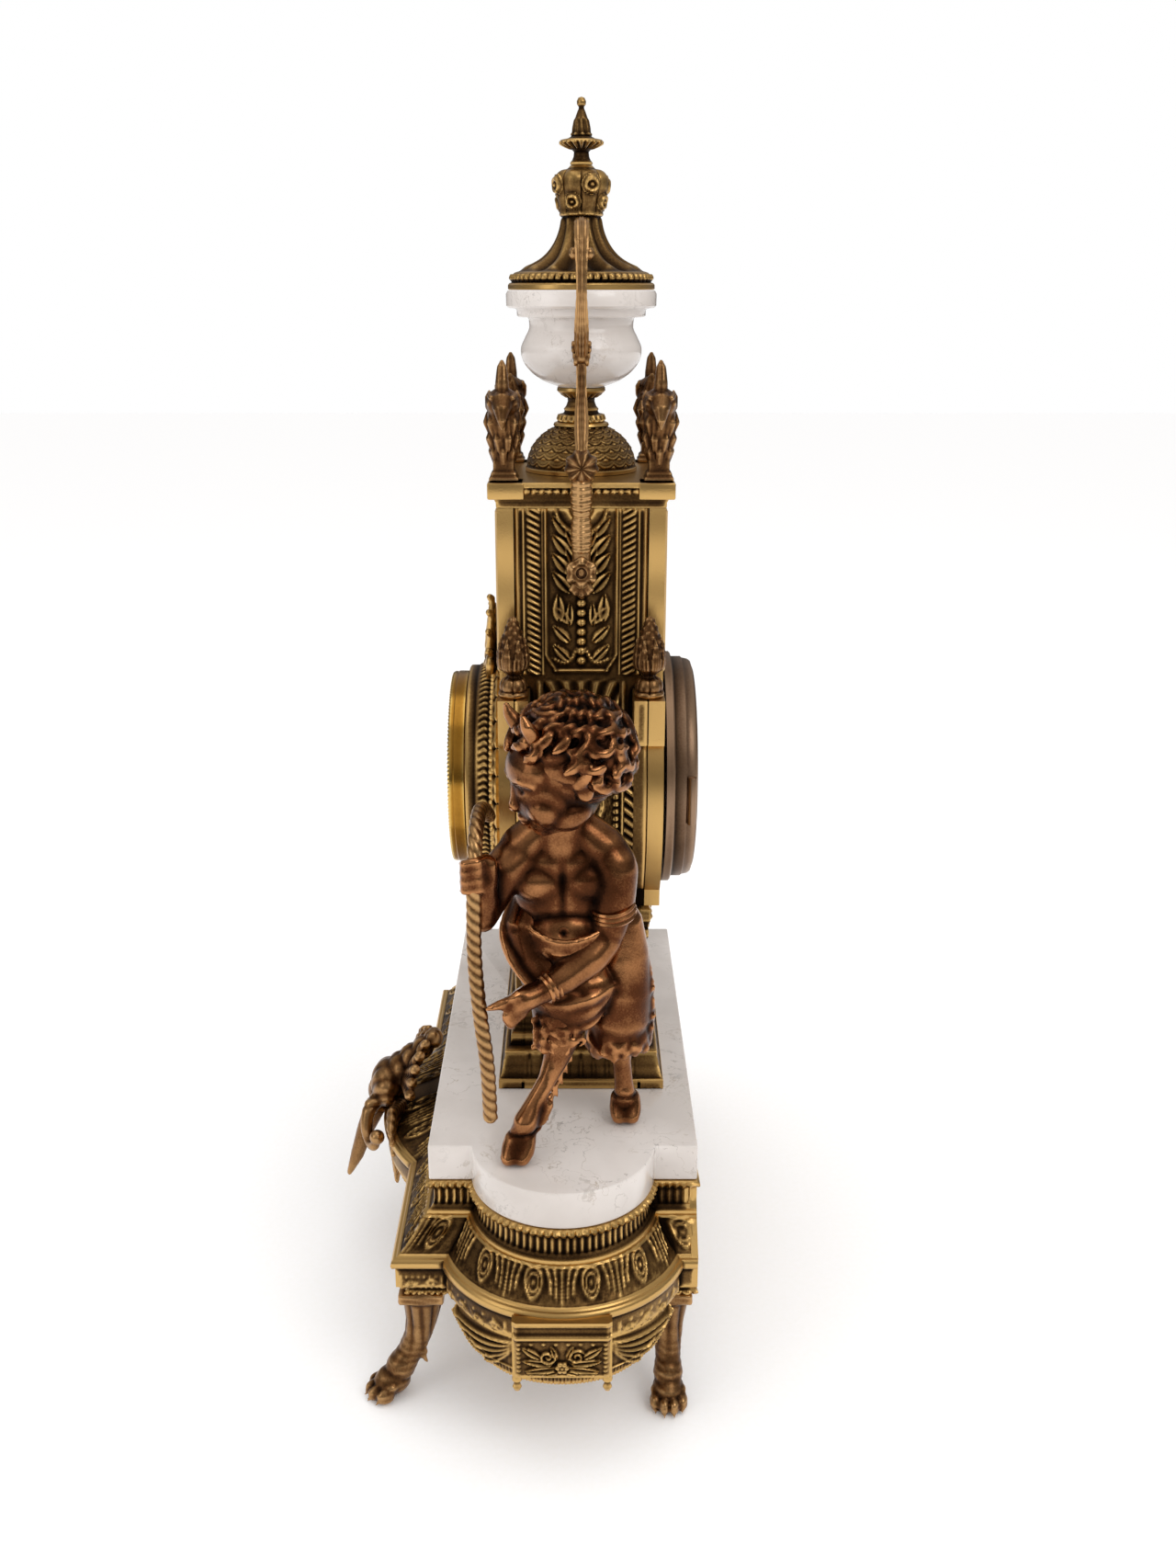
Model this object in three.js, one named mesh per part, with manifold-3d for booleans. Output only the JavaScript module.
// Mantel clock in the imperial taste: a brass and marble base on paw feet, a brass tower holding an
// eight-day movement, a marble urn on top and a young faun with a rope on either side.
// Millimetres, +Z up, dial facing -Y. The origin is under the middle of the clock, at the feet's soles.

import * as THREE from "three";
import { mergeVertices } from "three/addons/utils/BufferGeometryUtils.js";
import Module from "manifold-3d";

const wasm = await Module();
wasm.setup();

// ---------- driving dimensions ----------

const gap = 0.3; // clearance between pieces that rest on each other
const runningGap = 0.25; // radial clearance of a shaft in its hole

// base, from the floor up
const footHeight = 60;
const fasciaHeight = 24;
const ogeeRise = 14;
const friezeHeight = 18;
const slabThickness = 18.4;
const slabHalfLength = 125; // straight part, without the round ends
const slabDepth = 127.6;
const endRadius = 43.5; // round end of the slab
const endInset = 4.5; // how far the round end's centre lies inside the slab's straight end
const ledgeOverhang = 17.7;
const friezeOverhang = 1.2;
const baseWall = 4;
const apronDrop = 17; // depth of the draped apron under each round end
const frontBowHalf = 60; // half chord of the bow in the base's front
const frontBowReach = 20;
const trophyReach = 61.9; // from the slab's front to the tip of the trophy
const trophyHalf = 46;
const trophyTipHeight = 36;
const plaqueHalf = 23;
const plaqueDepth = 4;

// tower
const axisToBack = 55.1; // from the tower's axis to the back of the slab
const plinthHalfX = 72.5;
const plinthHalfY = 41.5;
const plinthBand = 5;
const plinthRise = 12;
const plinthStep = 7.5;
const pedestalStep = 6; // height of the step that the pedestal stands on
const pedestalHalfX = 50;
const pedestalHalfY = 33;
const capitalHeight = 17;
const capitalProud = 4;
const caseHalfY = 39; // front and back faces of the case
const drumRadius = 71;
const drumHeight = 148.3; // dial centre above the slab
const drumDrop = 56.5; // flat underside of the drum below the dial centre
const drumFootHalfX = 52;
const drumOpening = 47;
const earInset = 2; // how far the ears stay inside the drum's side
const earHalfX = drumRadius - earInset;
const earDepth = 14.5;
const earHeight = 22.5;
const earTop = 54; // above the dial centre
const upperHalfX = 46;
const upperTop = 139.2; // top of the side panels above the dial centre
const castingThickness = 7.8; // front and back castings' rim
const faceWall = 3;
const sideWall = 3;
const corniceHeight = 12;
const corniceProud = 3.5;

// dial, bezel and back cover
const bezelRadius = 49.5;
const bezelBand = 6;
const bezelInner = bezelRadius - bezelBand;
const bezelDepth = 8.5;
const ringRadius = bezelRadius + 3;
const ringDepth = 14.6;
const ringInner = bezelInner + 1.1;
const dialRadius = bezelInner + 0.5;
const glassThickness = 1.6;
const collarRadius = 59.5;
const collarDepth = 12.2;
const doorRadius = 53.2;
const doorThickness = 3.1;
const hingePin = 1.1;

// movement
const plateRadius = 41;
const frontPlateRadius = ringInner + 1.8; // bears on the end of the dial ring's sleeve
const plateThickness = 1.6;
const plateSpacing = 24;
const movementFront = -30; // front plate's front face, from the tower's axis
const toothModule = 0.9;
const wheelTeeth = 32;
const pinionLeaves = 8;
const minuteTeeth = 24;
const strikeTeeth = 18;
const arborRadius = 1.2;
const pivotRadius = 0.8;
const windingRadius = 2.2;
const bellRadius = 23.5;
const hammerReach = 16;
const hammerHead = 3.2;

// urn
const domeRadius = 27;
const domeHeight = 23;
const stemHeight = 15.6;
const bowlHeight = 43.5;
const lidHeight = 54;
const finialHeight = 28.5;
const rodRadius = 2;

// figures
const ropeRadius = 3.2;
const handleWidth = 5.4;
const handleThickness = 3.6;

// ---------- levels that follow ----------

const ledgeTop = footHeight + fasciaHeight;
const friezeBottom = ledgeTop + ogeeRise;
const slabBottom = friezeBottom + friezeHeight;
const slabTop = slabBottom + slabThickness;
const slabFrontY = axisToBack - slabDepth;
const slabMidY = axisToBack - slabDepth / 2;
const endCentreX = slabHalfLength - endInset;
const dialZ = slabTop + drumHeight;
const plinthTop = slabTop + gap + plinthBand + plinthRise;
const drumBottom = dialZ - drumDrop;
const capitalBottom = drumBottom - capitalHeight;
const earTopZ = dialZ + earTop;
const earBottom = earTopZ - earHeight;
const panelTop = dialZ + upperTop;
const towerTop = panelTop + corniceHeight;
const seamFront = -caseHalfY + castingThickness;
const seamBack = caseHalfY - castingThickness;
const caseBack = caseHalfY + 2;
const domeTop = towerTop + gap + domeHeight;
const stemTop = domeTop + gap + stemHeight;
const bowlTop = stemTop + gap + bowlHeight;
const lidTop = bowlTop + gap + lidHeight;
const doorBack = caseBack + gap + collarDepth + gap + doorThickness;
const tipY = slabFrontY - trophyReach;
const axisY = -(tipY + doorBack) / 2; // puts the origin midway between the trophy's tip and the back door

// ---------- materials ----------

const metal = (name, color, roughness) =>
  new THREE.MeshStandardMaterial({ name, color, roughness, metalness: 1 });
const brass = metal("brass", 0xb08a4a, 0.42);
const bronze = metal("bronze", 0x6e4a32, 0.4);
const polishedBrass = metal("polished_brass", 0xd0a040, 0.25);
const steel = metal("steel", 0x8a8d90, 0.35);
const marble = new THREE.MeshStandardMaterial({ name: "marble", color: 0xeeebe8, roughness: 0.2 });
const enamel = new THREE.MeshStandardMaterial({ name: "enamel", color: 0xf3efe2, roughness: 0.25 });
const blackMetal = metal("black_metal", 0x2b2320, 0.5);
const clearGlass = new THREE.MeshStandardMaterial({
  name: "glass",
  color: 0xffffff,
  roughness: 0.03,
  transparent: true,
  opacity: 0.25,
});

// ---------- solids ----------

// A three.js geometry as a manifold solid, its shared vertices merged.
function solid(geometry) {
  const bare = new THREE.BufferGeometry();
  const whole = geometry.index ? geometry.toNonIndexed() : geometry;
  bare.setAttribute("position", whole.getAttribute("position").clone());
  const merged = mergeVertices(bare, 1e-4);
  return new wasm.Manifold(
    new wasm.Mesh({
      numProp: 3,
      vertProperties: merged.attributes.position.array,
      triVerts: new Uint32Array(merged.index.array),
    }),
  );
}

function geometryOf(manifold) {
  const mesh = manifold.getMesh();
  const geometry = new THREE.BufferGeometry();
  geometry.setAttribute("position", new THREE.BufferAttribute(mesh.vertProperties, 3));
  geometry.setIndex(new THREE.BufferAttribute(mesh.triVerts, 1));
  geometry.computeVertexNormals();
  return geometry;
}

const join = (...parts) => parts.reduce((whole, part) => whole.add(part));
const cut = (body, ...tools) => tools.reduce((left, tool) => left.subtract(tool), body);

const clock = new THREE.Group();
clock.position.y = axisY;

// Adds one named piece, from a manifold solid, to the clock or to another group.
function piece(name, manifold, material, parent = clock) {
  const mesh = new THREE.Mesh(geometryOf(manifold), material);
  mesh.name = name;
  parent.add(mesh);
  return mesh;
}

// A box between two corners.
function block(x0, x1, y0, y1, z0, z1) {
  const box = new THREE.BoxGeometry(x1 - x0, y1 - y0, z1 - z0);
  box.translate((x0 + x1) / 2, (y0 + y1) / 2, (z0 + z1) / 2);
  return solid(box);
}

// A plan outline pulled up from z0 to z1.
function pullUp(shape, z0, z1, curveSegments = 6) {
  const body = new THREE.ExtrudeGeometry(shape, {
    depth: z1 - z0,
    bevelEnabled: false,
    curveSegments,
  });
  body.translate(0, 0, z0);
  return solid(body);
}

// An outline in the X-Z plane pulled along Y, from y0 to y1.
function pullAcross(shape, y0, y1, curveSegments = 10) {
  const body = new THREE.ExtrudeGeometry(shape, {
    depth: y1 - y0,
    bevelEnabled: false,
    curveSegments,
  });
  body.rotateX(Math.PI / 2);
  body.translate(0, y1, 0);
  return solid(body);
}

// A profile of [radius, y] points turned about an axis along Y, whichever way round it is listed.
function turnedAcross(profile, segments = 20) {
  const points = profile.map(([r, y]) => new THREE.Vector2(r, y));
  if (THREE.ShapeUtils.area(points) < 0) points.reverse();
  return solid(new THREE.LatheGeometry(points, segments));
}

// A profile of [radius, height] points turned about the vertical axis.
const turned = (profile, segments = 16) => turnedAcross(profile, segments).rotate([90, 0, 0]);

const disc = (radius, y0, y1, segments = 20) =>
  turnedAcross([[0, y0], [radius, y0], [radius, y1], [0, y1]], segments);

const ring = (outer, inner, y0, y1, segments = 20) =>
  turnedAcross([[inner, y0], [outer, y0], [outer, y1], [inner, y1], [inner, y0]], segments);

const rod = (radius, z0, z1, segments = 12) =>
  turned([[0, z0], [radius, z0], [radius, z1], [0, z1]], segments);

// A round bar between two points, thicker or thinner at its far end.
function limb(from, to, radiusFrom, radiusTo, segments = 6) {
  const a = new THREE.Vector3(...from);
  const b = new THREE.Vector3(...to);
  const length = a.distanceTo(b);
  const bar = new THREE.CylinderGeometry(radiusTo, radiusFrom, length, segments);
  const turn = new THREE.Quaternion().setFromUnitVectors(
    new THREE.Vector3(0, 1, 0),
    b.clone().sub(a).normalize(),
  );
  bar.applyQuaternion(turn);
  const middle = a.add(b).multiplyScalar(0.5);
  bar.translate(middle.x, middle.y, middle.z);
  return solid(bar);
}

// An egg shape with three half-axes.
function egg(middle, halves, across = 7, down = 5) {
  const ball = new THREE.SphereGeometry(1, across, down);
  ball.scale(...halves);
  ball.translate(...middle);
  return solid(ball);
}

// A section of width by thickness, or round, swept along points.
function swept(points, section, steps) {
  const path = new THREE.CatmullRomCurve3(points.map((p) => new THREE.Vector3(...p)));
  return solid(
    new THREE.ExtrudeGeometry(section, { steps, extrudePath: path, bevelEnabled: false }),
  );
}

function roundSection(radius, sides = 6) {
  const section = new THREE.Shape();
  for (let i = 0; i < sides; i++) {
    const a = (i / sides) * 2 * Math.PI;
    section[i ? "lineTo" : "moveTo"](radius * Math.cos(a), radius * Math.sin(a));
  }
  return section;
}

function flatSection(width, thickness) {
  const section = new THREE.Shape();
  section.moveTo(-thickness / 2, -width / 2);
  section.lineTo(thickness / 2, -width / 2);
  section.lineTo(thickness / 2, width / 2);
  section.lineTo(-thickness / 2, width / 2);
  return section;
}

const mirrored = (manifold) => manifold.mirror([1, 0, 0]);

// ---------- base ----------

// The base's plan, grown outwards by offset: straight back, round ends and a bow in the front.
// The back stays flush with the slab whatever the offset.
function basePlan(offset, bowReach = 0, inset = 0) {
  const front = slabFrontY - offset;
  const back = axisToBack - inset;
  const end = slabHalfLength + offset;
  const radius = endRadius + offset;
  const halfChord = Math.sqrt(radius ** 2 - (end - endCentreX) ** 2);
  const swing = Math.asin(halfChord / radius);
  const plan = new THREE.Shape();
  plan.moveTo(-end, front);
  if (bowReach > 0) {
    const bowRadius = (frontBowHalf ** 2 + bowReach ** 2) / (2 * bowReach);
    const half = Math.asin(frontBowHalf / bowRadius);
    const centreY = front - bowReach + bowRadius;
    plan.lineTo(-frontBowHalf, front);
    plan.absarc(0, centreY, bowRadius, -Math.PI / 2 - half, -Math.PI / 2 + half, false);
  }
  plan.lineTo(end, front);
  plan.lineTo(end, slabMidY - halfChord);
  plan.absarc(endCentreX, slabMidY, radius, -swing, swing, false);
  plan.lineTo(end, Math.min(slabMidY + halfChord, back));
  plan.lineTo(end, back);
  plan.lineTo(-end, back);
  plan.lineTo(-end, Math.min(slabMidY + halfChord, back));
  plan.absarc(-endCentreX, slabMidY, radius, Math.PI - swing, Math.PI + swing, false);
  plan.lineTo(-end, slabMidY - halfChord);
  return plan;
}

// The sloping ogee between ledge and frieze, as a stack of three steps.
function ogeeStack(steps = 3) {
  const layers = [];
  for (let i = 0; i < steps; i++) {
    const share = (i + 0.5) / steps;
    const offset = THREE.MathUtils.lerp(ledgeOverhang, friezeOverhang, share);
    const bow = frontBowReach * (1 - share);
    const z0 = ledgeTop + (ogeeRise * i) / steps;
    layers.push(pullUp(basePlan(offset, bow), z0 - 0.5, z0 + ogeeRise / steps));
  }
  return join(...layers);
}

// The draped apron that hangs under a round end.
function apron(side) {
  const outer = new THREE.Shape();
  const radius = endRadius + ledgeOverhang - 2;
  outer.absarc(endCentreX, slabMidY, radius, -1.05, 1.05, false);
  outer.absarc(endCentreX, slabMidY, radius - baseWall, 1.05, -1.05, true);
  const wall = pullUp(outer, footHeight - apronDrop, footHeight + 1);
  return side > 0 ? wall : mirrored(wall);
}

// The plaque with two peg feet, cast on the tip of each round end.
function plaque() {
  const x0 = endCentreX + endRadius + ledgeOverhang - 1;
  const x1 = x0 + plaqueDepth + 1;
  const pegs = [-1, 1].map((side) => {
    const y = slabMidY + side * (plaqueHalf - 2);
    return limb([x1 - 2, y, footHeight], [x1 - 2, y, footHeight - apronDrop], 1.9, 1.5, 6);
  });
  const bottom = footHeight - apronDrop / 2;
  const face = block(x0, x1, slabMidY - plaqueHalf, slabMidY + plaqueHalf, bottom, ledgeTop - 3);
  return join(face, ...pegs);
}

function baseCasting() {
  const ledge = pullUp(basePlan(ledgeOverhang, frontBowReach), footHeight, ledgeTop);
  const frieze = pullUp(basePlan(friezeOverhang), friezeBottom - 0.5, slabBottom - gap);
  const ends = [apron(1), apron(-1), plaque(), mirrored(plaque())];
  const body = join(ledge, ogeeStack(), frieze, ...ends);
  const insideLow = basePlan(ledgeOverhang - baseWall, 0, baseWall);
  const insideHigh = basePlan(friezeOverhang - baseWall, 0, baseWall);
  const hollow = join(
    pullUp(insideLow, footHeight - 1, ledgeTop - baseWall),
    pullUp(insideHigh, ledgeTop - baseWall - 1, slabBottom - baseWall),
  );
  return cut(body, hollow, ...boltHoles(slabBottom - baseWall - 1, slabBottom));
}

// Two long bolts hold the tower down through the slab.
const boltX = 40;
const boltRadius = 2.5;
const boltHole = boltRadius + 0.4;
const boltHeadHeight = 4;

function boltHoles(z0, z1) {
  return [-boltX, boltX].map((x) => rod(boltHole, z0, z1, 10).translate([x, 0, 0]));
}

piece("base_casting", baseCasting(), brass);
piece(
  "marble_slab",
  cut(pullUp(basePlan(0), slabBottom, slabTop, 8), ...boltHoles(slabBottom - 1, slabTop + 1)),
  marble,
);

// A lion's paw foot: block under the ledge, ankle and paw with a flat sole.
const soleRadius = 8;
function pawFoot(outX, outY) {
  const top = footHeight - gap;
  const ankle = footHeight * 0.45;
  const pawZ = 9;
  const body = join(
    block(-11, 11, -11, 11, top - 6, top),
    limb([0, 0, top - 3], [outX * 0.35, outY * 0.35, ankle], 9.5, 6),
    limb([outX * 0.35, outY * 0.35, ankle + 1], [outX * 0.8, outY * 0.8, pawZ], 6.2, 7.5),
    egg([outX, outY, pawZ + 1], [11.5, 11.5, 11]),
    rod(soleRadius, 0, pawZ / 2).translate([outX, outY, 0]),
  );
  return body.trimByPlane([0, 0, 1], 0);
}

const footX = slabHalfLength + ledgeOverhang - 16;
const footFrontY = slabFrontY - ledgeOverhang + 13;
const footBackY = axisToBack - 12.5;
for (const [name, x, y, outX, outY] of [
  ["foot_front_right", footX, footFrontY, 8, -18],
  ["foot_front_left", -footX, footFrontY, -8, -18],
  ["foot_back_right", footX, footBackY, 15, 0],
  ["foot_back_left", -footX, footBackY, -15, 0],
])
  piece(name, pawFoot(outX, outY), brass).position.set(x, y, 0);

// The trophy: a leaf-shaped cartouche on the front, leaning out from the slab to a pointed tip.
function trophy() {
  const side = new THREE.Shape();
  const bow = slabFrontY - ledgeOverhang - frontBowReach - gap;
  side.moveTo(slabFrontY - gap, slabTop - 3);
  side.lineTo(slabFrontY - gap - 6, slabTop - 2);
  side.lineTo(bow - 10, ledgeTop + 10);
  side.lineTo(bow - 18, footHeight + 8);
  side.lineTo(tipY, trophyTipHeight);
  side.lineTo(tipY + 5, trophyTipHeight);
  side.lineTo(bow - 3, footHeight - 4);
  side.lineTo(bow, ledgeTop + gap);
  side.lineTo(slabFrontY - gap - friezeOverhang, friezeBottom + gap + 6);
  side.lineTo(slabFrontY - gap - friezeOverhang, slabBottom);
  side.lineTo(slabFrontY - gap, slabBottom);
  const sheet = new THREE.ExtrudeGeometry(side, { depth: 2 * trophyHalf, bevelEnabled: false });
  // the side outline's x runs along Y and its y along Z; the sheet's width runs along X
  sheet.applyMatrix4(
    new THREE.Matrix4().set(0, 0, 1, -trophyHalf, 1, 0, 0, 0, 0, 1, 0, 0, 0, 0, 0, 1),
  );
  const front = new THREE.Shape();
  front.moveTo(-2.5, trophyTipHeight);
  front.lineTo(2.5, trophyTipHeight);
  front.lineTo(10, footHeight);
  front.lineTo(26, footHeight + 6);
  front.lineTo(trophyHalf, ledgeTop - 4);
  front.lineTo(34, ledgeTop + 16);
  front.lineTo(20, slabTop - 2);
  front.lineTo(-20, slabTop - 2);
  front.lineTo(-34, ledgeTop + 16);
  front.lineTo(-trophyHalf, ledgeTop - 4);
  front.lineTo(-26, footHeight + 6);
  front.lineTo(-10, footHeight);
  const whole = solid(sheet).intersect(pullAcross(front, tipY - 5, 0));
  const room = pullUp(basePlan(ledgeOverhang + gap, frontBowReach), footHeight - gap, ledgeTop + gap);
  const rise = [0, 1, 2].map((i) => {
    const share = (i + 0.5) / 3;
    const offset = THREE.MathUtils.lerp(ledgeOverhang, friezeOverhang, share) + gap;
    const z0 = ledgeTop + (ogeeRise * i) / 3;
    return pullUp(basePlan(offset, frontBowReach * (1 - share)), z0, z0 + ogeeRise / 3 + gap);
  });
  return cut(whole, room, ...rise, pullUp(basePlan(friezeOverhang + gap), friezeBottom, slabBottom));
}

piece("front_trophy", trophy(), bronze);

// ---------- tower ----------

// The case seen from the front, shrunk inwards by inset: the round drum, and above it the upper
// tower, with square ears at the corners or with the coves that lie between them.
function caseFace(inset = 0, ears = false) {
  const radius = drumRadius - inset;
  const foot = drumFootHalfX - inset;
  const neck = upperHalfX - inset;
  const side = new THREE.Path();
  const low = Math.acos(foot / radius);
  side.moveTo(foot, drumBottom + inset);
  side.lineTo(foot, dialZ - radius * Math.sin(low));
  side.absarc(0, dialZ, radius, -low, Math.asin((earBottom - dialZ) / radius), false);
  if (ears) {
    side.lineTo(earHalfX, earBottom);
    side.lineTo(earHalfX, earTopZ);
    side.lineTo(neck, earTopZ);
  } else side.quadraticCurveTo(neck, earBottom, neck, earTopZ);
  side.lineTo(neck, panelTop);
  const right = side.getPoints(8);
  const left = right.map(({ x, y }) => new THREE.Vector2(-x, y)).reverse();
  return new THREE.Shape([...right, ...left]);
}

// The plinth's sloping part, a frustum from its band up to the pedestal's step.
function plinthSlope(bandTop) {
  const slope = new THREE.CylinderGeometry(Math.SQRT2, Math.SQRT2, 1, 4, 1);
  slope.rotateY(Math.PI / 4);
  slope.rotateX(Math.PI / 2);
  const corners = slope.getAttribute("position");
  for (let i = 0; i < corners.count; i++) {
    const high = corners.getZ(i) > 0;
    const step = high ? plinthStep : 0;
    corners.setX(i, corners.getX(i) * (plinthHalfX - step));
    corners.setY(i, corners.getY(i) * (plinthHalfY - step));
    corners.setZ(i, high ? plinthTop : bandTop - 0.5);
  }
  return solid(slope);
}

// The tower as one solid, before it is hollowed and split at its seams.
function wholeTower() {
  const bandTop = slabTop + gap + plinthBand;
  const inner = (plinthHalfX - plinthStep + pedestalHalfX) / 2;
  const centred = (x, y, z0, z1) => block(-x, x, -y, y, z0, z1);
  const capitalMiddle = capitalBottom + capitalHeight / 2;
  const corner = caseHalfY - earDepth;
  return join(
    centred(plinthHalfX, plinthHalfY, slabTop + gap, bandTop),
    plinthSlope(bandTop),
    centred(inner, pedestalHalfY + 0.5, plinthTop - 1, plinthTop + pedestalStep),
    centred(pedestalHalfX, pedestalHalfY, plinthTop, drumBottom + 1),
    centred(pedestalHalfX + capitalProud / 2, pedestalHalfY + capitalProud / 2, capitalBottom, drumBottom + 1),
    centred(pedestalHalfX + capitalProud, pedestalHalfY + capitalProud, capitalMiddle, drumBottom + 1),
    pullAcross(caseFace(), -caseHalfY, caseHalfY),
    pullAcross(caseFace(0, true), -caseHalfY, -corner),
    pullAcross(caseFace(0, true), corner, caseHalfY),
    disc(drumRadius, caseHalfY - 1, caseBack, 24).translate([0, 0, dialZ]),
  );
}

// The room inside the tower, with the round mouths of the dial and the back door.
function towerRoom() {
  const inner = caseHalfY - faceWall;
  const x = pedestalHalfX - sideWall;
  const y = pedestalHalfY - faceWall;
  const neck = upperHalfX - sideWall;
  return join(
    block(-x, x, -y, y, slabTop - 1, drumBottom + 2 * sideWall),
    pullAcross(caseFace(sideWall), -inner, inner),
    block(-neck, neck, -inner, inner, earTopZ, panelTop + 1),
    disc(drumOpening, -caseHalfY - 5, caseBack + 5, 24).translate([0, 0, dialZ]),
  );
}

// A lug inside each side panel's foot, drilled for the bolt that holds the tower down.
function boltLug(side) {
  const inside = pedestalHalfX - sideWall + 0.5;
  const lug = block(boltX - 8, inside, -9, 9, slabTop + gap, slabTop + gap + lugHeight);
  return side > 0 ? lug : mirrored(lug);
}

const lugHeight = 5;
const tower = join(cut(wholeTower(), towerRoom()), boltLug(1), boltLug(-1));
const drilled = cut(tower, ...boltHoles(slabTop, slabTop + lugHeight + 1));
const far = 800;
const between = (x0, x1, y0, y1) => drilled.intersect(block(x0, x1, y0, y1, 0, far));

piece("front_casting", between(-far, far, -far, seamFront - gap), brass);
piece("back_casting", between(-far, far, seamBack + gap, far), brass);
piece("side_panel_right", between(gap, far, seamFront, seamBack), brass);
piece("side_panel_left", between(-far, -gap, seamFront, seamBack), brass);

// The cornice plate closes the tower's top; the urn's rod passes through it.
function topPlate() {
  const x = upperHalfX + corniceProud;
  const y = caseHalfY + corniceProud;
  const plate = join(
    block(-x + 1.5, x - 1.5, -y + 1.5, y - 1.5, panelTop + gap, panelTop + corniceHeight / 2),
    block(-x, x, -y, y, panelTop + corniceHeight / 2 - 0.5, towerTop),
  );
  const wellX = upperHalfX - sideWall;
  const wellY = caseHalfY - faceWall;
  const well = block(-wellX, wellX, -wellY, wellY, panelTop - 1, towerTop - faceWall);
  return cut(plate, well, rod(rodRadius + runningGap, panelTop, towerTop + 1));
}

piece("top_plate", topPlate(), brass);

// A griffin's head with a crest and a beak, looking out along +X from a small stepped block.
function griffin() {
  const foot = towerTop + gap;
  return join(
    block(-6, 6, -6, 6, foot, foot + 5),
    limb([0, 0, foot + 3], [0.5, 0, foot + 34], 6.5, 7),
    egg([3, 0, foot + 36], [9, 6.8, 9.5]),
    limb([8, 0, foot + 34], [14, 0, foot + 25], 4.2, 0.8, 6),
    limb([2, 0, foot + 42], [1, 0, foot + 53], 3.4, 0.9, 6),
    limb([-5, 0, foot + 12], [-5, 0, foot + 44], 3.6, 3, 6),
  );
}

const griffinX = upperHalfX - 6;
const griffinY = caseHalfY - 3.4;
for (const [name, sideX, sideY] of [
  ["griffin_front_right", 1, -1],
  ["griffin_front_left", -1, -1],
  ["griffin_back_right", 1, 1],
  ["griffin_back_left", -1, 1],
])
  piece(name, sideX > 0 ? griffin() : mirrored(griffin()), brass).position.set(
    sideX * griffinX,
    sideY * griffinY,
    0,
  );

// A bud finial on a squat foot stands on each corner ear.
function bud() {
  const z = earTopZ + gap;
  return turned(
    [
      [0, z], [6.8, z], [6.8, z + 2], [5.4, z + 4], [5, z + 7], [2.6, z + 9.5], [5.5, z + 13],
      [7, z + 18], [5, z + 27], [1.8, z + 35], [0, z + 37],
    ],
    10,
  );
}

const budX = earHalfX - 9;
const budY = caseHalfY - earDepth / 2;
for (const [name, sideX, sideY] of [
  ["bud_front_right", 1, -1],
  ["bud_front_left", -1, -1],
  ["bud_back_right", 1, 1],
  ["bud_back_left", -1, 1],
])
  piece(name, bud(), bronze).position.set(sideX * budX, sideY * budY, 0);

// The ornament on the front of the drum, with a crest above it.
const ornamentThickness = 2.2;
const ornamentRadius = 64;
const crestHeight = 38; // above the ears
function frontOrnament() {
  const back = -caseHalfY - gap;
  const tip = earTopZ + crestHeight;
  const waist = earTopZ + crestHeight * 0.4;
  const crest = new THREE.Shape();
  crest.moveTo(-24, dialZ + ornamentRadius - 9);
  crest.lineTo(24, dialZ + ornamentRadius - 9);
  crest.lineTo(15, waist);
  crest.lineTo(4, tip);
  crest.lineTo(-4, tip);
  crest.lineTo(-15, waist);
  const round = ring(ornamentRadius, drumOpening, back - ornamentThickness, back, 24);
  const spray = pullAcross(crest, back - ornamentThickness, back);
  return join(round.translate([0, 0, dialZ]), spray);
}

piece("front_ornament", frontOrnament(), bronze);

// ---------- dial, bezel and back cover ----------

const dialGroup = new THREE.Group();
dialGroup.position.z = dialZ;
clock.add(dialGroup);

const ornamentFace = -caseHalfY - gap - ornamentThickness;
const ringBack = ornamentFace - gap;
const ringFront = ringBack - ringDepth;
const bezelBack = ringFront - gap;
const bezelFront = bezelBack - bezelDepth;
const hingeX = ringRadius + 3.2;
const knuckle = 2.2;
const sleeveRadius = drumOpening - gap;

// The fixed ring, with a sleeve through the case and the outer hinge knuckles.
function dialRing() {
  const body = join(
    ring(ringRadius, ringInner, ringFront, ringBack, 24),
    ring(sleeveRadius, ringInner, ringBack - 1, movementFront - gap, 24),
  );
  const knuckles = [-1, 1].map((side) =>
    rod(knuckle, side * 7 - 3, side * 7 + 3, 10).translate([-hingeX, bezelBack, 0]),
  );
  const arm = block(-hingeX, -ringRadius + 2, bezelBack + 0.6, bezelBack + 2.6, -10, 10);
  const room = rod(knuckle + gap, -4 + gap, 4 - gap, 10).translate([-hingeX, bezelBack, 0]);
  const bore = rod(hingePin + runningGap, -12, 12, 10).translate([-hingeX, bezelBack, 0]);
  return cut(join(body, arm, ...knuckles), room, bore);
}

function bezel() {
  const body = turnedAcross(
    [
      [bezelInner, bezelBack], [bezelRadius, bezelBack], [bezelRadius, bezelFront + 2],
      [bezelRadius - 2, bezelFront], [bezelInner + 1.5, bezelFront], [bezelInner, bezelFront + 3],
      [bezelInner, bezelBack],
    ],
    24,
  );
  const knuckleMid = rod(knuckle, -3.4, 3.4, 10).translate([-hingeX, bezelBack, 0]);
  const leaf = block(-hingeX, -bezelRadius + 2, bezelBack - 2.2, bezelBack - 0.6, -3.4, 3.4);
  const bore = rod(hingePin + runningGap, -12, 12, 10).translate([-hingeX, bezelBack, 0]);
  return cut(join(body, knuckleMid, leaf), bore, seatRing());
}

const glassSeat = bezelInner + 1.2;
const glassY = bezelBack - 3.4;
function seatRing() {
  return ring(glassSeat, bezelInner - 1, glassY, glassY + glassThickness + 2 * gap, 24);
}

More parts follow.
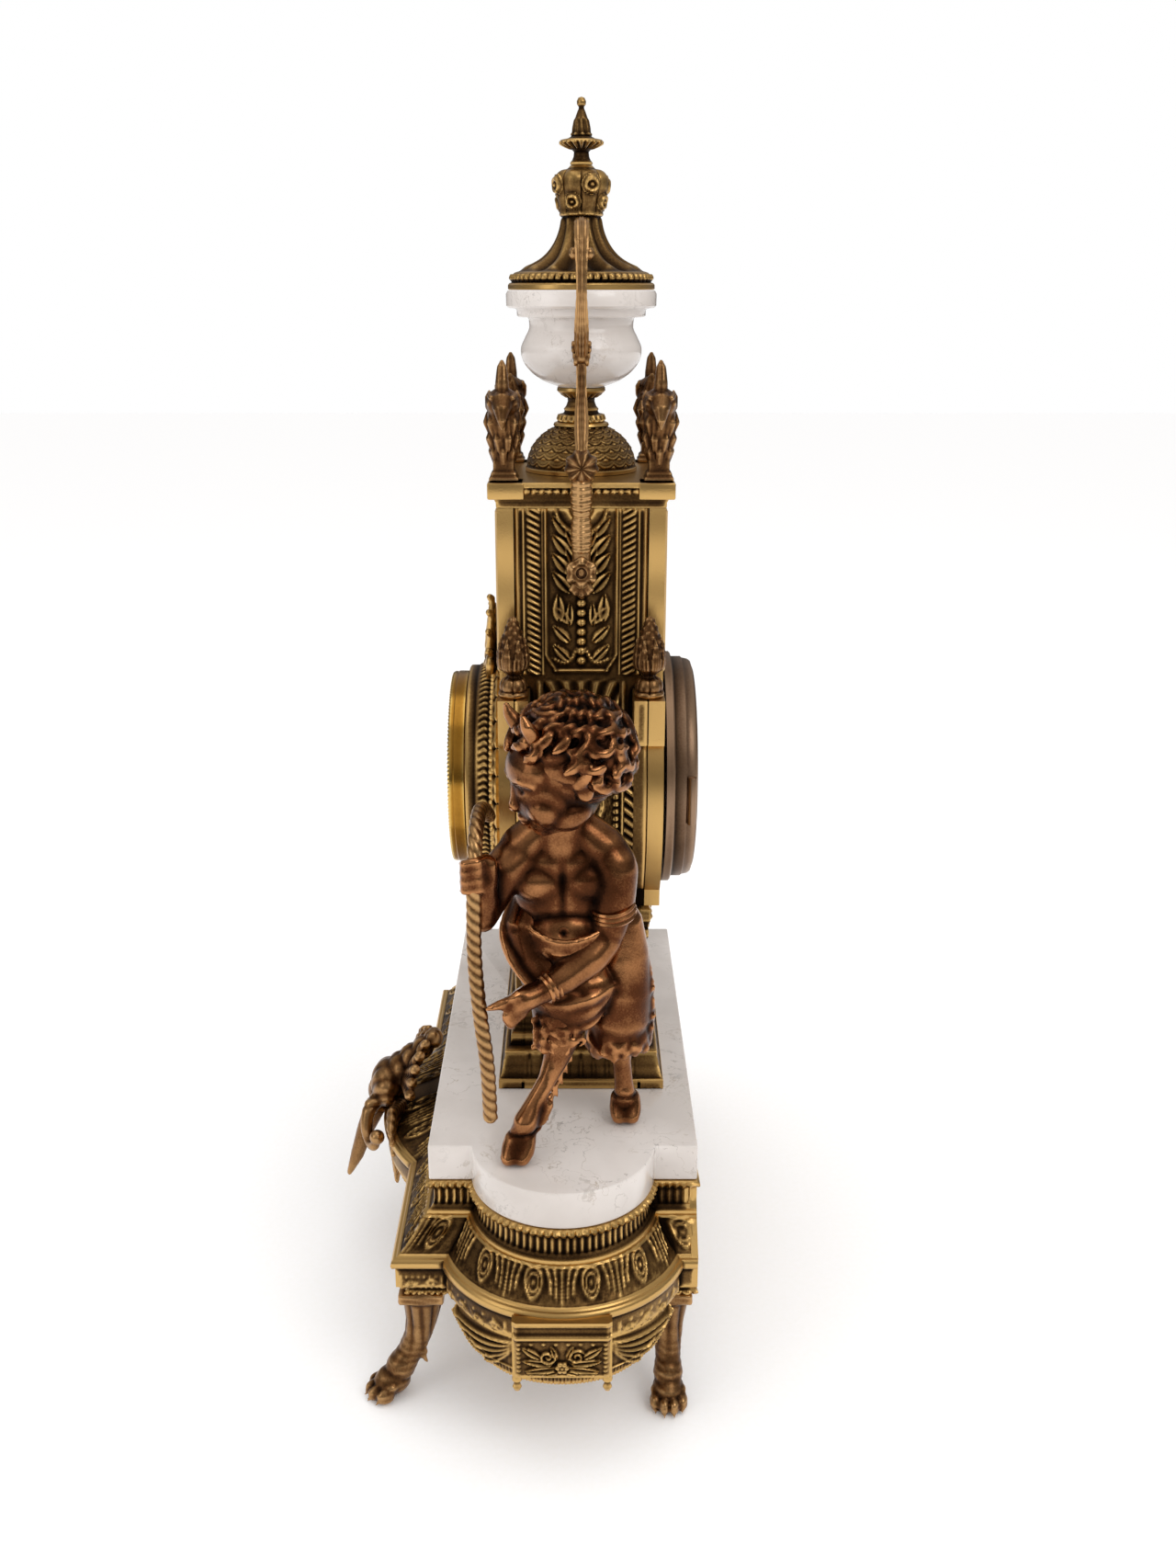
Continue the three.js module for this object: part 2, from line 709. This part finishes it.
// The domed glass sits in a groove of the bezel.
function bezelGlass() {
  const edge = glassSeat - gap;
  const y = glassY + gap;
  const crown = 5;
  return turnedAcross(
    [
      [0, y - crown], [edge * 0.5, y - crown * 0.78], [edge * 0.85, y - crown * 0.3],
      [bezelInner - gap, y], [edge, y], [edge, y + glassThickness],
      [bezelInner - 1.5, y + glassThickness], [edge * 0.8, y + glassThickness - crown * 0.3],
      [edge * 0.45, y + glassThickness - crown * 0.78], [0, y + glassThickness - crown],
    ],
    24,
  );
}

piece("dial_ring", dialRing(), brass, dialGroup);
piece("bezel", bezel(), polishedBrass, dialGroup);
piece("bezel_glass", bezelGlass(), clearGlass, dialGroup);
piece(
  "bezel_hinge_pin",
  rod(hingePin, -11, 11, 8).translate([-hingeX, bezelBack, 0]),
  steel,
  dialGroup,
);

// Positions of the arbors, in the X-Z plane from the dial's centre.
const pitch = (teeth) => (teeth * toothModule) / 2;
const polar = ([x, z], reach, angle) => [x + reach * Math.cos(angle), z + reach * Math.sin(angle)];
const meshDistance = pitch(wheelTeeth) + pitch(pinionLeaves);
const centre = [0, 0];
const timeBarrel = polar(centre, meshDistance, -0.36);
const strikeBarrel = polar(centre, meshDistance + 2.5, Math.PI + 0.36);
const thirdArbor = polar(centre, meshDistance, Math.PI / 2);
const escapeArbor = polar(thirdArbor, meshDistance, 0.35);
const balancePlace = [30, 14];
const strikeArbor = polar(strikeBarrel, meshDistance, 1.745);
const flyArbor = polar(strikeArbor, pitch(strikeTeeth) + pitch(pinionLeaves), 1.4);
const minutePlace = polar(centre, pitch(minuteTeeth) + pitch(pinionLeaves), Math.PI / 2);
const hammerPlace = [-36, 4];
const bellPlace = [4, -2];

const dialBack = ringFront + 6;
const dialThickness = 1.2;
const dialFront = dialBack - dialThickness;
const windingHole = 3.2;

// The enamel dial with holes for the hands' pipe and the two winding squares.
function dial() {
  return cut(
    disc(dialRadius, dialFront, dialBack, 24),
    disc(4, dialFront - 1, dialBack + 1, 12),
    ...[timeBarrel, strikeBarrel].map(([x, z]) =>
      disc(windingHole, dialFront - 1, dialBack + 1, 12).translate([x, 0, z]),
    ),
  );
}

piece("dial", dial(), enamel, dialGroup);

// The back collar is a hollow moulding on the back of the case.
const collarFront = caseBack + gap;
const collarBack = collarFront + collarDepth;
const doorHingeX = doorRadius + 2.6;
function backCollar() {
  const body = turnedAcross(
    [
      [drumOpening, collarFront], [collarRadius, collarFront], [collarRadius - 3, collarFront + 4],
      [doorRadius - 0.8, collarFront + 8], [doorRadius, collarBack], [drumOpening, collarBack],
      [drumOpening, collarFront],
    ],
    24,
  );
  const knuckles = [-1, 1].map((side) =>
    rod(knuckle, side * 7 - 3, side * 7 + 3, 10).translate([doorHingeX, collarBack, 0]),
  );
  const arm = block(doorRadius - 3, doorHingeX, collarBack - 2.6, collarBack - 0.6, -10, 10);
  const room = rod(knuckle + gap, -4 + gap, 4 - gap, 10).translate([doorHingeX, collarBack, 0]);
  const bore = rod(hingePin + runningGap, -12, 12, 10).translate([doorHingeX, collarBack, 0]);
  return cut(join(body, arm, ...knuckles), room, bore);
}

// The round back door, with slots that let the bell be heard.
function backDoor() {
  const y0 = collarBack + gap;
  const y1 = y0 + doorThickness;
  const cap = turnedAcross(
    [
      [0, y0], [doorRadius, y0], [doorRadius, y0 + 1.6], [doorRadius - 1.5, y1], [0, y1],
    ],
    24,
  );
  const leaf = block(doorRadius - 3, doorHingeX, y0 + 0.4, y0 + 1.6, -3.4, 3.4);
  const knuckleMid = rod(knuckle, -3.4, 3.4, 10).translate([doorHingeX, collarBack, 0]);
  const slots = [-20, -10, 0, 10, 20].map((z) => block(-24, 24, y0 - 1, y1 + 1, z - 1.5, z + 1.5));
  const bore = rod(hingePin + runningGap, -12, 12, 10).translate([doorHingeX, collarBack, 0]);
  return cut(join(cap, leaf, knuckleMid), bore, ...slots);
}

piece("back_collar", backCollar(), brass, dialGroup);
piece("back_door", backDoor(), blackMetal, dialGroup);
piece(
  "back_hinge_pin",
  rod(hingePin, -11, 11, 8).translate([doorHingeX, collarBack, 0]),
  steel,
  dialGroup,
);

// ---------- movement ----------

const frontPlate = [movementFront, movementFront + plateThickness];
const backPlate = [frontPlate[1] + plateSpacing, frontPlate[1] + plateSpacing + plateThickness];

// A toothed wheel with its first tooth at an angle, seen from the front, between y0 and y1.
function toothed(teeth, y0, y1, firstTooth, module = toothModule) {
  const radius = (teeth * module) / 2;
  const tip = radius + 0.75 * module;
  const root = radius - 1.05 * module;
  const share = (2 * Math.PI) / teeth;
  const outline = new THREE.Shape();
  for (let i = 0; i < teeth; i++) {
    const a = firstTooth + i * share;
    outline[i ? "lineTo" : "moveTo"](tip * Math.cos(a), tip * Math.sin(a));
    outline.lineTo(root * Math.cos(a + share / 2), root * Math.sin(a + share / 2));
  }
  return pullAcross(outline, y0, y1);
}

const at = (manifold, [x, z]) => manifold.translate([x, 0, z]);
const shaft = (radius, y0, y1) => disc(radius, y0, y1, 8);
const pivotHole = (place, radius = pivotRadius + runningGap) =>
  at(disc(radius * 1.05, frontPlate[0] - 1, backPlate[1] + 1, 10), place);

const pillarPlaces = [[22, 31.5], [-32, 20], [25, -29], [-25, -29]];
const arborPlaces = [thirdArbor, escapeArbor, balancePlace, strikeArbor, flyArbor, hammerPlace];

// Bores a movement plate for every arbor.
function bored(plate) {
  return cut(
    plate,
    ...arborPlaces.map((place) => pivotHole(place)),
    ...[timeBarrel, strikeBarrel].map((place) => pivotHole(place, windingRadius + runningGap)),
    pivotHole(centre, arborRadius + runningGap),
  );
}

// The motion work in front of the front plate: cannon pinion next to it, hour wheel before that.
const cannonY = [movementFront - 3, movementFront - 0.8];
const hourWheelY = [cannonY[0] - 1.8, cannonY[0] - 0.6];
const studEnd = hourWheelY[0] - 0.8;
// the hour wheel turns on the centre too, so its teeth are finer to reach the same stud
const hourModule = (2 * (pitch(minuteTeeth) + pitch(pinionLeaves))) / (wheelTeeth + pinionLeaves);

// The front plate carries four pillars and the minute wheel's stud.
function movementFrontPlate() {
  const [y0, y1] = frontPlate;
  const pillars = pillarPlaces.map((place) => at(disc(2.4, y1 - 0.5, backPlate[0] - gap, 8), place));
  const stud = at(disc(1, studEnd, y0 + 0.5, 8), minutePlace);
  return bored(join(disc(frontPlateRadius, y0, y1, 26), ...pillars, stud));
}

piece("movement_front_plate", movementFrontPlate(), polishedBrass, dialGroup);
piece("movement_back_plate", bored(disc(plateRadius, ...backPlate, 24)), polishedBrass, dialGroup);

const inFront = frontPlate[1] + gap;
const inBack = backPlate[0] - gap;
const wheelThickness = 1.4;
const greatY = [inFront + 0.6, inFront + 0.6 + wheelThickness];
const centreWheelY = [inBack - 2.4, inBack - 2.4 + wheelThickness];
const thirdWheelY = [inFront + 9, inFront + 9 + wheelThickness];
const barrelRadius = 11.2;
const barrelBack = centreWheelY[0] - 1.5;

// A spring barrel with its great wheel, turning on the winding arbor.
function barrel(place, driven) {
  const towards = Math.atan2(driven[1] - place[1], driven[0] - place[0]);
  const body = join(
    toothed(wheelTeeth, ...greatY, towards),
    disc(barrelRadius, greatY[1] - 0.3, barrelBack, 16),
  );
  return cut(body, disc(windingRadius + runningGap, inFront - 5, inBack + 5, 10));
}

// The winding arbor with its ratchet wheel in front of the plate and a square end behind the dial.
function windingArbor() {
  const ratchet = disc(5, movementFront - 2.4, movementFront - gap, 12);
  const square = disc(windingRadius - 0.1, dialBack + 0.8, movementFront - 2, 4);
  return join(disc(windingRadius - 0.1, movementFront - 1, backPlate[1] + 0.5, 8), ratchet, square);
}

for (const [name, body, place, look] of [
  ["time_barrel", barrel(timeBarrel, centre), timeBarrel, polishedBrass],
  ["strike_barrel", barrel(strikeBarrel, strikeArbor), strikeBarrel, polishedBrass],
  ["time_winding_arbor", windingArbor(), timeBarrel, steel],
  ["strike_winding_arbor", windingArbor(), strikeBarrel, steel],
])
  piece(name, body, look, dialGroup).position.set(place[0], 0, place[1]);

const half = (teeth) => Math.PI / teeth;
const handsFront = dialFront - 4.6;
const angleTo = ([x0, z0], [x1, z1]) => Math.atan2(z1 - z0, x1 - x0);

// The centre arbor: pinion, centre wheel and cannon pinion, out to the minute hand.
function centreArbor() {
  const towards = angleTo(centre, timeBarrel);
  return join(
    shaft(arborRadius, handsFront, backPlate[1] + 0.6),
    toothed(pinionLeaves, greatY[0] - 0.2, greatY[1] + 0.2, towards + half(pinionLeaves)),
    toothed(wheelTeeth, ...centreWheelY, Math.PI / 2),
    toothed(pinionLeaves, ...cannonY, Math.PI / 2 + half(pinionLeaves)),
  );
}

// The minute wheel and pinion turn on a stud and drive the hour wheel.
function minuteWheel() {
  const body = join(
    toothed(minuteTeeth, ...cannonY, -Math.PI / 2),
    toothed(
      pinionLeaves,
      hourWheelY[0] - 0.2,
      cannonY[0] + 0.3,
      -Math.PI / 2 + half(pinionLeaves),
      hourModule,
    ),
  );
  return cut(body, disc(1.3, hourWheelY[0] - 5, cannonY[1] + 5, 10));
}

function thirdWheel() {
  const toEscape = angleTo(thirdArbor, escapeArbor);
  return join(
    shaft(pivotRadius, frontPlate[0] + 0.2, backPlate[1] - 0.2),
    toothed(pinionLeaves, centreWheelY[0] - 0.2, centreWheelY[1] + 0.2, -Math.PI / 2 + half(pinionLeaves)),
    toothed(wheelTeeth, ...thirdWheelY, toEscape),
  );
}

function escapeWheel() {
  const toThird = angleTo(escapeArbor, thirdArbor);
  const star = new THREE.Shape();
  const points = 15;
  for (let i = 0; i < points; i++) {
    const a = (i / points) * 2 * Math.PI;
    star[i ? "lineTo" : "moveTo"](6 * Math.cos(a), 6 * Math.sin(a));
    star.lineTo(4.4 * Math.cos(a + 0.12), 4.4 * Math.sin(a + 0.12));
  }
  return join(
    shaft(pivotRadius, frontPlate[0] + 0.2, backPlate[1] - 0.2),
    toothed(pinionLeaves, thirdWheelY[0] - 0.2, thirdWheelY[1] + 0.2, toThird + half(pinionLeaves)),
    pullAcross(star, thirdWheelY[1] + 5, thirdWheelY[1] + 6),
  );
}

// The balance wheel: rim, crossbar and staff.
function balanceWheel() {
  const y0 = thirdWheelY[1] + 8;
  return join(
    ring(7.5, 6, y0, y0 + 1.6, 20),
    block(-6.5, 6.5, y0 + 0.3, y0 + 1.3, -0.8, 0.8),
    shaft(pivotRadius, frontPlate[0] + 0.2, backPlate[1] - 0.2),
  );
}

// The striking train: a wheel that the strike barrel drives, and the fly that slows it.
function strikeWheel() {
  const towards = angleTo(strikeArbor, strikeBarrel);
  return join(
    shaft(pivotRadius, frontPlate[0] + 0.2, backPlate[1] - 0.2),
    toothed(pinionLeaves, greatY[0] - 0.2, greatY[1] + 0.2, towards + half(pinionLeaves)),
    toothed(strikeTeeth, ...centreWheelY, angleTo(strikeArbor, flyArbor)),
  );
}

function fly() {
  const towards = angleTo(flyArbor, strikeArbor);
  const bladeBack = centreWheelY[0] - 3;
  return join(
    shaft(pivotRadius, frontPlate[0] + 0.2, backPlate[1] - 0.2),
    toothed(pinionLeaves, centreWheelY[0] - 0.2, centreWheelY[1] + 0.2, towards + half(pinionLeaves)),
    block(-4.6, 4.6, bladeBack - 9, bladeBack, -0.6, 0.6),
  );
}

// The strike hammer: an arbor through both plates and an arm whose head rests just off the bell.
const bellBack = backPlate[1] + 36.8;
const bellLip = backPlate[1] + 10.8;
const headY = bellLip + 3;
function hammer() {
  const toBell = Math.hypot(bellPlace[0] - hammerPlace[0], bellPlace[1] - hammerPlace[1]);
  const clear = bellRadius + hammerHead + 1;
  const cosine = (toBell ** 2 + hammerReach ** 2 - clear ** 2) / (2 * toBell * hammerReach);
  const [x, z] = polar(centre, hammerReach, angleTo(hammerPlace, bellPlace) + Math.acos(cosine));
  return join(
    shaft(pivotRadius, frontPlate[0] + 0.2, headY + 1.4),
    limb([0, headY, 0], [x, headY, z], 1.1, 1.1, 6),
    egg([x, headY, z], [hammerHead, hammerHead, hammerHead], 8, 6),
  );
}

// The bell is a turned cup on a post that stands on the back plate.
function bell() {
  const r = bellRadius;
  const wall = 1.6;
  const cup = turnedAcross(
    [
      [0, bellBack], [r * 0.55, bellBack], [r * 0.9, bellBack - 8], [r, bellLip],
      [r - wall, bellLip], [r * 0.9 - wall, bellBack - 7.4], [r * 0.5, bellBack - wall],
      [0, bellBack - wall],
    ],
    18,
  );
  return join(cup, disc(2.2, backPlate[1] + gap, bellBack + 1.5, 8));
}

for (const [name, body, place, look] of [
  ["centre_arbor", centreArbor(), [0, 0], polishedBrass],
  ["minute_wheel", minuteWheel(), minutePlace, polishedBrass],
  ["third_wheel", thirdWheel(), thirdArbor, polishedBrass],
  ["escape_wheel", escapeWheel(), escapeArbor, polishedBrass],
  ["balance_wheel", balanceWheel(), balancePlace, polishedBrass],
  ["strike_wheel", strikeWheel(), strikeArbor, polishedBrass],
  ["fly", fly(), flyArbor, polishedBrass],
  ["hammer", hammer(), hammerPlace, steel],
  ["bell", bell(), bellPlace, polishedBrass],
])
  piece(name, body, look, dialGroup).position.set(place[0], 0, place[1]);

// The hands: the hour hand on the hour wheel's pipe, the minute hand on the centre arbor.
const hourHandY = [dialFront - 2, dialFront - 1];
const minuteHandY = [dialFront - 4, dialFront - 3];

function handOutline(length, width) {
  const hand = new THREE.Shape();
  hand.moveTo(-width * 0.5, -width * 0.8);
  hand.lineTo(width * 0.5, -width * 0.8);
  hand.lineTo(width * 0.35, length * 0.55);
  hand.lineTo(width * 0.9, length * 0.7);
  hand.lineTo(0, length);
  hand.lineTo(-width * 0.9, length * 0.7);
  hand.lineTo(-width * 0.35, length * 0.55);
  return hand;
}

function hourHand() {
  const body = join(
    pullAcross(handOutline(24, 3.4), ...hourHandY),
    disc(3.6, ...hourHandY, 12),
    disc(2.5, hourHandY[1] - 0.3, hourWheelY[1], 10),
    toothed(wheelTeeth, ...hourWheelY, Math.PI / 2, hourModule),
  );
  return cut(body, disc(arborRadius + runningGap + 0.15, handsFront - 5, movementFront, 12));
}

function minuteHand() {
  const body = join(pullAcross(handOutline(36, 2.8), ...minuteHandY), disc(3, ...minuteHandY, 12));
  return cut(body, disc(arborRadius + gap, handsFront - 5, movementFront, 12));
}

piece("hour_hand", hourHand(), blackMetal, dialGroup);
piece("minute_hand", minuteHand(), blackMetal, dialGroup);

// ---------- urn ----------

const rodHole = () => rod(rodRadius + runningGap + 0.2, towerTop - 5, lidTop - 3, 10);
const rise = (profile, z0) => profile.map(([r, z]) => [r, z0 + z]);

const domeProfile = [[0, 0], [domeRadius, 0], [domeRadius, 2]];
for (let i = 1; i <= 4; i++) {
  const a = (i / 5) * (Math.PI / 2);
  domeProfile.push([domeRadius * Math.cos(a), 2 + (domeHeight - 2) * Math.sin(a)]);
}
domeProfile.push([12.4, domeHeight], [0, domeHeight]);

const stemProfile = [
  [0, 0], [12, 0], [11, 3.6], [8, 5], [7.9, 8], [6.4, 9.5], [6.8, 12.5], [11.6, 15], [11.6, stemHeight],
  [0, stemHeight],
];

const bowlProfile = [
  [0, 0], [11.6, 0], [19, 3], [25.5, 8.5], [28.7, 15], [27.6, 21], [24.4, 27], [24.6, 31.5],
  [30, 32], [30, 35.5], [35.4, 36], [35.4, bowlHeight], [0, bowlHeight],
];

const lidProfile = [
  [0, 0], [34.5, 0], [34.5, 2.6], [31.6, 4], [31.4, 8], [26, 9.4], [18.5, 13], [12, 20], [9.4, 27],
  [8.6, 33], [9.6, 34], [10.4, 40], [11.4, 46], [10.4, 51], [7, 53.5], [5.1, lidHeight],
  [0, lidHeight],
];

const finialProfile = [
  [0, 0], [5, 0], [3.8, 2], [3.4, 5.5], [10.2, 9.4], [4, 12.4], [3.4, 15.6], [1.5, 23],
  [1.9, 26.4], [0, finialHeight],
];

piece("dome", cut(turned(rise(domeProfile, towerTop + gap)), rodHole()), brass);
piece("urn_stem", cut(turned(rise(stemProfile, domeTop + gap), 14), rodHole()), brass);
piece("marble_bowl", cut(turned(rise(bowlProfile, stemTop + gap), 20), rodHole()), marble);
piece("urn_lid", cut(turned(rise(lidProfile, bowlTop + gap), 18), rodHole()), brass);
piece("urn_finial", turned(rise(finialProfile, lidTop + gap), 12), brass);
piece(
  "urn_tie_rod",
  join(rod(rodRadius, towerTop - faceWall - 4, lidTop - 3 - gap, 10), rod(4.5, towerTop - faceWall - 6, towerTop - faceWall - gap, 6)),
  steel,
);

// A scrolled handle: from the lid over the rim to the bowl, out to a volute and down the side panel.
const volute = [57, towerTop + 8];
function urnHandle() {
  const lidZ = bowlTop + gap;
  const bowlZ = stemTop + gap + 15;
  const dropX = upperHalfX + 6;
  const scroll = swept(
    [
      [36, 0, lidZ + 17], [33.5, 0, lidZ + 23], [39, 0, lidZ + 27.5], [48, 0, lidZ + 23],
      [54, 0, lidZ + 8], [52, 0, lidZ - 8], [41, 0, bowlZ + 6], [34.5, 0, bowlZ - 3],
      [37, 0, bowlZ - 18], [47, 0, volute[1] + 13], [volute[0], 0, volute[1] + 4],
    ],
    flatSection(handleWidth, handleThickness),
    22,
  );
  const rosette = new THREE.CylinderGeometry(5.5, 5.5, 6, 10);
  rosette.rotateZ(Math.PI / 2);
  rosette.translate(dropX + 1, 0, towerTop - 40);
  return join(
    scroll,
    egg([volute[0], 0, volute[1]], [8.5, 7.4, 8.5]),
    limb([volute[0] - 1, 0, volute[1] - 2], [dropX, 0, towerTop - 36], 4.6, 4.2),
    limb([dropX, 0, towerTop - 34], [dropX, 0, towerTop - 52], 5, 4.4),
    solid(rosette),
    block(upperHalfX + gap, dropX, -2.5, 2.5, towerTop - 43, towerTop - 37),
    block(30.2, 38, -2.5, 2.5, bowlZ - 2, bowlZ + 3),
  );
}

piece("urn_handle_right", urnHandle(), brass);
piece("urn_handle_left", mirrored(urnHandle()), brass);

// ---------- fauns ----------

// A young faun standing on goat's legs, its far arm on the rope and its near arm across its lap.
const floorZ = slabTop + gap;
function faun() {
  const up = (x, y, z) => [x, y, floorZ + z];
  const body = join(
    egg(up(108, -8, 134), [19, 22, 22]), // chest
    egg(up(110, -8, 106), [18, 20, 20]), // belly
    egg(up(106, 2, 78), [19, 24, 20]), // hips
    egg(up(109, -7, 189), [24, 26, 26]), // head and hair
    limb(up(109, -8, 150), up(109, -7, 170), 9, 9),
    limb(up(106, -28, 148), up(118, -42, 124), 8.5, 7), // arm to the rope
    limb(up(118, -42, 122), up(128, -36, 136), 7, 5),
    limb(up(103, 14, 148), up(104, 11, 96), 9.5, 8), // arm across the lap
    limb(up(104, 11, 94), up(128, -22, 79), 8, 5.5),
    egg(up(131, -28, 77), [6, 8, 6], 8, 6),
    limb(up(110, -6, 76), up(121, -10, 50), 16, 9), // forward leg
    limb(up(121, -10, 52), up(133, -24, 18), 7.5, 4.5),
    limb(up(133, -24, 22), up(137, -27, 0.2), 5, 8.5),
    limb(up(103, 14, 76), up(101, 18, 46), 17, 11), // standing leg
    limb(up(101, 18, 48), up(100, 20, 16), 7.5, 5),
    limb(up(100, 20, 20), up(101, 21, 0.2), 5.5, 8.5),
  );
  const keep = block(75, 160, -70, 60, floorZ, floorZ + 230);
  return body.intersect(keep);
}

// The cast rope runs from the drum's side over the hand and hangs free.
const ropePath = [
  [77, -43.5, 148], [90, -45, 156], [108, -46, 160], [122, -46.5, 156], [129, -47, 145],
  [131, -47.5, 125], [133, -47.5, 100], [136, -45.5, 75], [139, -42.5, 50], [140, -41.5, 24],
];

function rope() {
  const path = ropePath.map(([x, y, z]) => [x, y, floorZ + z]);
  return swept(path, roundSection(ropeRadius), 22);
}

const roomForRope = () => {
  const path = ropePath.map(([x, y, z]) => [x, y, floorZ + z]);
  return swept(path, roundSection(ropeRadius + gap), 22);
};

const faunBody = cut(faun(), roomForRope());
piece("faun_right", faunBody, bronze);
piece("faun_left", mirrored(faunBody), bronze);
piece("rope_right", rope(), bronze);
piece("rope_left", mirrored(rope()), bronze);

// ---------- fasteners ----------

// Each tower bolt has its head under the base casting and ends in the tower's foot bar.
function towerBolt() {
  const head = slabBottom - baseWall - gap;
  return join(
    rod(boltRadius, head - 1, slabTop + lugHeight + 8, 8),
    rod(5, head - boltHeadHeight, head, 6),
    rod(5.5, slabTop + lugHeight + 2 * gap, slabTop + lugHeight + 2 * gap + 4, 6),
  );
}

piece("tower_bolt_right", towerBolt(), steel).position.x = boltX;
piece("tower_bolt_left", towerBolt(), steel).position.x = -boltX;

export default clock;
